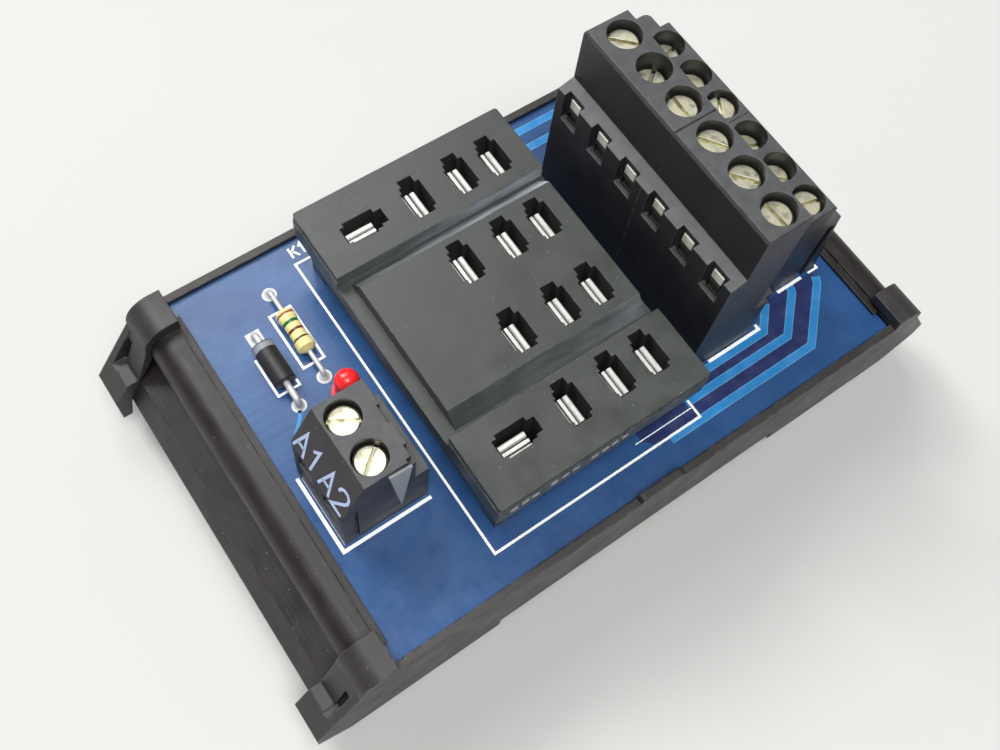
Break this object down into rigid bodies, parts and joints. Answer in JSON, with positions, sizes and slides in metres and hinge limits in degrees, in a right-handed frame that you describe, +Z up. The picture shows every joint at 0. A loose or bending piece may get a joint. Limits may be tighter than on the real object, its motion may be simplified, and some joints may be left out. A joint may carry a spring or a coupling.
{
  "type": "relay interface module",
  "caption": "Rail-mounted relay interface board: plug-in relay socket, two-tier screw terminals, coil terminal, lamp, resistor and diode on a board in an extruded carrier with end plates.",
  "frame": {"origin": "middle of the lowest face of the rail foot, under the middle of the carrier", "axes": "+Z up out of the board's component side; +X across the rail, from the coil terminal to the contact terminals; +Y along the rail and the carrier"},
  "size_m": [0.0944, 0.052, 0.0478],
  "materials": {
    "carrier_plastic": "satin, dark grey-green",
    "cap_plastic": "matt, dark grey",
    "foot_plastic": "matt, dark grey",
    "spring_steel": "plain spring steel",
    "board": "blue solder mask",
    "socket_plastic": "matt, dark grey-green",
    "contact_metal": "tinned",
    "terminal_plastic": "matt, dark grey",
    "screw_metal": "pale zinc",
    "clamp_metal": "tinned brass",
    "resistor_paint": "tan lacquer with colour rings",
    "diode_plastic": "black moulding with a grey ring",
    "lead_metal": "tinned wire",
    "lamp_plastic": "clear red"
  },
  "bodies": {
    "board_unit": {"base_profile": "carrier_plastic", "end_plate_front": "cap_plastic", "end_plate_rear": "cap_plastic", "rail_foot": "foot_plastic", "latch_spring": "spring_steel", "circuit_board": "board", "socket_body": "socket_plastic", "socket_contacts": "contact_metal", "coil_contacts": "contact_metal", "terminal_block_front": "terminal_plastic", "terminal_block_rear": "terminal_plastic", "control_block": "terminal_plastic", "upper_clamps": "clamp_metal", "lower_clamps": "clamp_metal", "control_clamps": "clamp_metal", "resistor_body": "resistor_paint", "resistor_leads": "lead_metal", "diode_body": "diode_plastic", "diode_leads": "lead_metal", "lamp_lens": "lamp_plastic", "lamp_leads": "lead_metal"},
    "latch": {"rail_latch": "foot_plastic"},
    "upper_plate_1": {"upper_plate_1": "clamp_metal"},
    "upper_screw_1": {"upper_screw_1": "screw_metal"},
    "upper_plate_2": {"upper_plate_2": "clamp_metal"},
    "upper_screw_2": {"upper_screw_2": "screw_metal"},
    "upper_plate_3": {"upper_plate_3": "clamp_metal"},
    "upper_screw_3": {"upper_screw_3": "screw_metal"},
    "upper_plate_4": {"upper_plate_4": "clamp_metal"},
    "upper_screw_4": {"upper_screw_4": "screw_metal"},
    "upper_plate_5": {"upper_plate_5": "clamp_metal"},
    "upper_screw_5": {"upper_screw_5": "screw_metal"},
    "upper_plate_6": {"upper_plate_6": "clamp_metal"},
    "upper_screw_6": {"upper_screw_6": "screw_metal"},
    "lower_plate_1": {"lower_plate_1": "clamp_metal"},
    "lower_screw_1": {"lower_screw_1": "screw_metal"},
    "lower_plate_2": {"lower_plate_2": "clamp_metal"},
    "lower_screw_2": {"lower_screw_2": "screw_metal"},
    "lower_plate_3": {"lower_plate_3": "clamp_metal"},
    "lower_screw_3": {"lower_screw_3": "screw_metal"},
    "lower_plate_4": {"lower_plate_4": "clamp_metal"},
    "lower_screw_4": {"lower_screw_4": "screw_metal"},
    "lower_plate_5": {"lower_plate_5": "clamp_metal"},
    "lower_screw_5": {"lower_screw_5": "screw_metal"},
    "lower_plate_6": {"lower_plate_6": "clamp_metal"},
    "lower_screw_6": {"lower_screw_6": "screw_metal"},
    "control_plate_1": {"control_plate_1": "clamp_metal"},
    "control_screw_1": {"control_screw_1": "screw_metal"},
    "control_plate_2": {"control_plate_2": "clamp_metal"},
    "control_screw_2": {"control_screw_2": "screw_metal"}
  },
  "joints": [
    {"name": "latch_slide", "type": "slide", "parent": "board_unit", "child": "latch", "axis": [1, 0, 0], "range_m": [0, 0.003], "stiffness_N_per_m": 600, "springref_m": -0.002, "deforming": ["latch_spring"]},
    {"name": "upper_clamp_1", "type": "slide", "parent": "board_unit", "child": "upper_plate_1", "axis": [0, 0, -1], "range_m": [-0.0006, 0.0022]},
    {"name": "upper_turn_1", "type": "hinge", "parent": "upper_plate_1", "child": "upper_screw_1", "pos_m": [0.01613, -0.0134, 0.0458], "axis": [0, 0, -1], "range_deg": [-432, 1584]},
    {"name": "upper_clamp_2", "type": "slide", "parent": "board_unit", "child": "upper_plate_2", "axis": [0, 0, -1], "range_m": [-0.0006, 0.0022]},
    {"name": "upper_turn_2", "type": "hinge", "parent": "upper_plate_2", "child": "upper_screw_2", "pos_m": [0.01613, -0.00832, 0.0458], "axis": [0, 0, -1], "range_deg": [-432, 1584]},
    {"name": "upper_clamp_3", "type": "slide", "parent": "board_unit", "child": "upper_plate_3", "axis": [0, 0, -1], "range_m": [-0.0006, 0.0022]},
    {"name": "upper_turn_3", "type": "hinge", "parent": "upper_plate_3", "child": "upper_screw_3", "pos_m": [0.01613, -0.00324, 0.0458], "axis": [0, 0, -1], "range_deg": [-432, 1584]},
    {"name": "upper_clamp_4", "type": "slide", "parent": "board_unit", "child": "upper_plate_4", "axis": [0, 0, -1], "range_m": [-0.0006, 0.0022]},
    {"name": "upper_turn_4", "type": "hinge", "parent": "upper_plate_4", "child": "upper_screw_4", "pos_m": [0.01613, 0.00184, 0.0458], "axis": [0, 0, -1], "range_deg": [-432, 1584]},
    {"name": "upper_clamp_5", "type": "slide", "parent": "board_unit", "child": "upper_plate_5", "axis": [0, 0, -1], "range_m": [-0.0018, 0.001]},
    {"name": "upper_turn_5", "type": "hinge", "parent": "upper_plate_5", "child": "upper_screw_5", "pos_m": [0.01613, 0.00692, 0.0458], "axis": [0, 0, -1], "range_deg": [-1296, 720]},
    {"name": "upper_clamp_6", "type": "slide", "parent": "board_unit", "child": "upper_plate_6", "axis": [0, 0, -1], "range_m": [-0.0006, 0.0022]},
    {"name": "upper_turn_6", "type": "hinge", "parent": "upper_plate_6", "child": "upper_screw_6", "pos_m": [0.01613, 0.012, 0.0458], "axis": [0, 0, -1], "range_deg": [-432, 1584]},
    {"name": "lower_clamp_1", "type": "slide", "parent": "board_unit", "child": "lower_plate_1", "axis": [0, 0, -1], "range_m": [-0.0004, 0.0024]},
    {"name": "lower_turn_1", "type": "hinge", "parent": "lower_plate_1", "child": "lower_screw_1", "pos_m": [0.0273, -0.01086, 0.03455], "axis": [0, 0, -1], "range_deg": [-288, 1728]},
    {"name": "lower_clamp_2", "type": "slide", "parent": "board_unit", "child": "lower_plate_2", "axis": [0, 0, -1], "range_m": [-0.0016, 0.0012]},
    {"name": "lower_turn_2", "type": "hinge", "parent": "lower_plate_2", "child": "lower_screw_2", "pos_m": [0.0273, -0.00578, 0.03455], "axis": [0, 0, -1], "range_deg": [-1152, 864]},
    {"name": "lower_clamp_3", "type": "slide", "parent": "board_unit", "child": "lower_plate_3", "axis": [0, 0, -1], "range_m": [-0.0018, 0.001]},
    {"name": "lower_turn_3", "type": "hinge", "parent": "lower_plate_3", "child": "lower_screw_3", "pos_m": [0.0273, -0.0007, 0.03455], "axis": [0, 0, -1], "range_deg": [-1296, 720]},
    {"name": "lower_clamp_4", "type": "slide", "parent": "board_unit", "child": "lower_plate_4", "axis": [0, 0, -1], "range_m": [-0.0004, 0.0024]},
    {"name": "lower_turn_4", "type": "hinge", "parent": "lower_plate_4", "child": "lower_screw_4", "pos_m": [0.0273, 0.00438, 0.03455], "axis": [0, 0, -1], "range_deg": [-288, 1728]},
    {"name": "lower_clamp_5", "type": "slide", "parent": "board_unit", "child": "lower_plate_5", "axis": [0, 0, -1], "range_m": [-0.0017, 0.0011]},
    {"name": "lower_turn_5", "type": "hinge", "parent": "lower_plate_5", "child": "lower_screw_5", "pos_m": [0.0273, 0.00946, 0.03455], "axis": [0, 0, -1], "range_deg": [-1224, 792]},
    {"name": "lower_clamp_6", "type": "slide", "parent": "board_unit", "child": "lower_plate_6", "axis": [0, 0, -1], "range_m": [-0.0016, 0.0012]},
    {"name": "lower_turn_6", "type": "hinge", "parent": "lower_plate_6", "child": "lower_screw_6", "pos_m": [0.0273, 0.01454, 0.03455], "axis": [0, 0, -1], "range_deg": [-1152, 864]},
    {"name": "control_clamp_1", "type": "slide", "parent": "board_unit", "child": "control_plate_1", "axis": [0, 0, -1], "range_m": [-0.0007, 0.0021]},
    {"name": "control_turn_1", "type": "hinge", "parent": "control_plate_1", "child": "control_screw_1", "pos_m": [-0.02895, -0.00876, 0.03125], "axis": [0, 0, -1], "range_deg": [-504, 1512]},
    {"name": "control_clamp_2", "type": "slide", "parent": "board_unit", "child": "control_plate_2", "axis": [0, 0, -1], "range_m": [-0.0006, 0.0022]},
    {"name": "control_turn_2", "type": "hinge", "parent": "control_plate_2", "child": "control_screw_2", "pos_m": [-0.02895, -0.00368, 0.03125], "axis": [0, 0, -1], "range_deg": [-432, 1584]}
  ],
  "couplings": [
    {"joint": "upper_turn_1", "follows": "upper_clamp_1", "rad_per_m": 12566},
    {"joint": "upper_turn_2", "follows": "upper_clamp_2", "rad_per_m": 12566},
    {"joint": "upper_turn_3", "follows": "upper_clamp_3", "rad_per_m": 12566},
    {"joint": "upper_turn_4", "follows": "upper_clamp_4", "rad_per_m": 12566},
    {"joint": "upper_turn_5", "follows": "upper_clamp_5", "rad_per_m": 12566},
    {"joint": "upper_turn_6", "follows": "upper_clamp_6", "rad_per_m": 12566},
    {"joint": "lower_turn_1", "follows": "lower_clamp_1", "rad_per_m": 12566},
    {"joint": "lower_turn_2", "follows": "lower_clamp_2", "rad_per_m": 12566},
    {"joint": "lower_turn_3", "follows": "lower_clamp_3", "rad_per_m": 12566},
    {"joint": "lower_turn_4", "follows": "lower_clamp_4", "rad_per_m": 12566},
    {"joint": "lower_turn_5", "follows": "lower_clamp_5", "rad_per_m": 12566},
    {"joint": "lower_turn_6", "follows": "lower_clamp_6", "rad_per_m": 12566},
    {"joint": "control_turn_1", "follows": "control_clamp_1", "rad_per_m": 12566},
    {"joint": "control_turn_2", "follows": "control_clamp_2", "rad_per_m": 12566}
  ]
}
